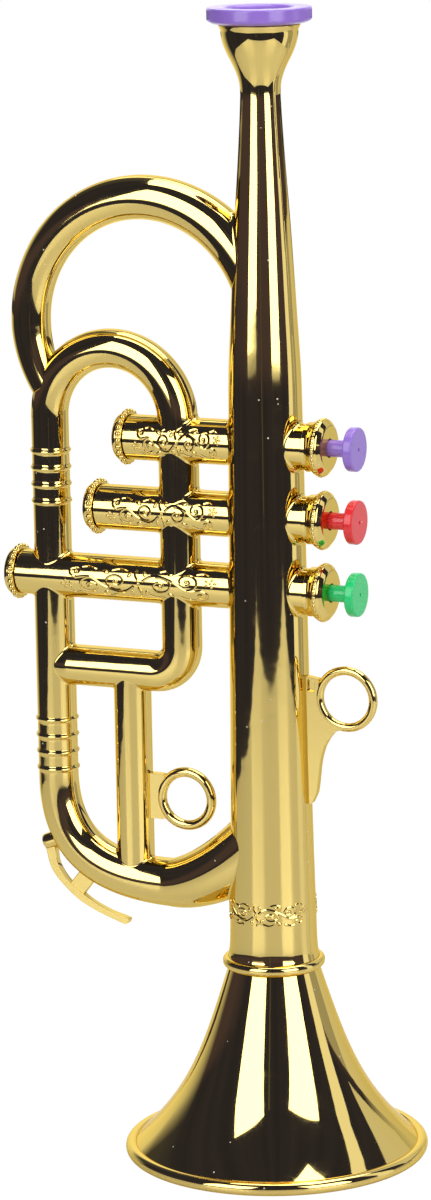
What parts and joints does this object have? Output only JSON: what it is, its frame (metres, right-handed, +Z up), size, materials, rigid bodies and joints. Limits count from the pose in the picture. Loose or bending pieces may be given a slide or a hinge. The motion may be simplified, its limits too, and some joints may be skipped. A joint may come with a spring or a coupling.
{
  "type": "toy trumpet",
  "caption": "Upright toy trumpet: plated split body with looped tubes, flared bell, coloured mouthpiece ring, finger ring and sprung push buttons that open reed holes.",
  "frame": {"origin": "on the floor under the bell's rim, at the middle of the object's footprint box", "axes": "+Z up along the main tube from bell to mouthpiece, +X towards the buttons, +Y away from the side that the picture shows"},
  "size_m": [0.1404, 0.0984, 0.37],
  "materials": {
    "gold_plating": "vacuum plated mirror gold on moulded plastic",
    "purple_plastic": "glossy moulded purple",
    "red_plastic": "glossy moulded red",
    "green_plastic": "glossy moulded green",
    "spring_steel": "plain steel wire and screws",
    "reed_brass": "plain brass sheet",
    "block_plastic": "natural moulded plastic",
    "pad_rubber": "soft black rubber"
  },
  "bodies": {
    "body": {"bell": "gold_plating", "bell_collar": "gold_plating", "body_back_shell": "gold_plating", "body_front_shell": "gold_plating", "body_screw_1": "spring_steel", "body_screw_2": "spring_steel", "body_screw_3": "spring_steel", "body_screw_4": "spring_steel", "body_screw_5": "spring_steel", "casing_cap_1": "gold_plating", "casing_cap_2": "gold_plating", "casing_cap_3": "gold_plating", "finger_hook": "gold_plating", "mouthpiece_rim": "purple_plastic", "reed_1": "reed_brass", "reed_2": "reed_brass", "reed_3": "reed_brass", "reed_block": "block_plastic", "reed_plate": "reed_brass", "return_spring_1": "spring_steel", "return_spring_2": "spring_steel", "return_spring_3": "spring_steel", "slide_ring": "gold_plating", "valve_cap_1": "gold_plating", "valve_cap_2": "gold_plating", "valve_cap_3": "gold_plating", "water_key": "gold_plating"},
    "button_1": {"valve_button_1": "purple_plastic", "valve_pad_1": "pad_rubber"},
    "button_2": {"valve_button_2": "red_plastic", "valve_pad_2": "pad_rubber"},
    "button_3": {"valve_button_3": "green_plastic", "valve_pad_3": "pad_rubber"}
  },
  "joints": [
    {"name": "button_1_press", "type": "slide", "parent": "body", "child": "button_1", "axis": [-1, 0, 0], "range_m": [0, 0.006], "stiffness_N_per_m": 150, "springref_m": -0.004, "deforming": ["return_spring_1"]},
    {"name": "button_2_press", "type": "slide", "parent": "body", "child": "button_2", "axis": [-1, 0, 0], "range_m": [0, 0.006], "stiffness_N_per_m": 150, "springref_m": -0.004, "deforming": ["return_spring_2"]},
    {"name": "button_3_press", "type": "slide", "parent": "body", "child": "button_3", "axis": [-1, 0, 0], "range_m": [0, 0.006], "stiffness_N_per_m": 150, "springref_m": -0.004, "deforming": ["return_spring_3"]}
  ]
}
